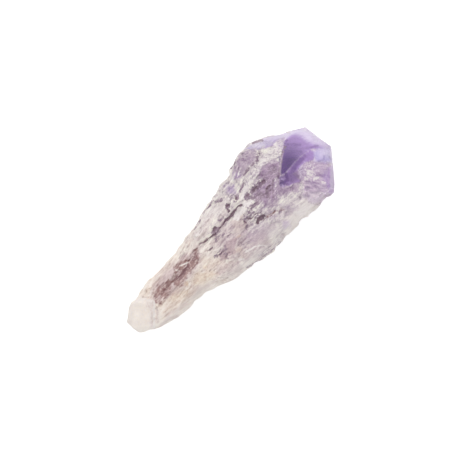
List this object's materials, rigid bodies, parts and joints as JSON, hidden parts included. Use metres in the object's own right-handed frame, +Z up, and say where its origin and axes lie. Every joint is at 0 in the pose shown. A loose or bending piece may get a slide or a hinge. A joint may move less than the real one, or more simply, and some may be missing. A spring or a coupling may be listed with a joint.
{
  "type": "raw amethyst point",
  "caption": "Raw amethyst point lying on its side: a clean faceted purple tip on a milky, ridged body that tapers to a broken root.",
  "frame": {"origin": "middle of the crystal's footprint, on the surface that it lies on", "axes": "+X along the length, from the broken root to the faceted tip; +Z up, away from the surface it lies on; +Y to the left of someone who looks from the root to the tip"},
  "size_m": [0.0794, 0.0282, 0.0238],
  "materials": {
    "amethyst": "glassy flat faces in clear violet quartz at the tip, turning to milky, rough and ridged quartz with cream and brown tints towards the root"
  },
  "bodies": {
    "root": {"amethyst_point": "amethyst"}
  },
  "joints": []
}
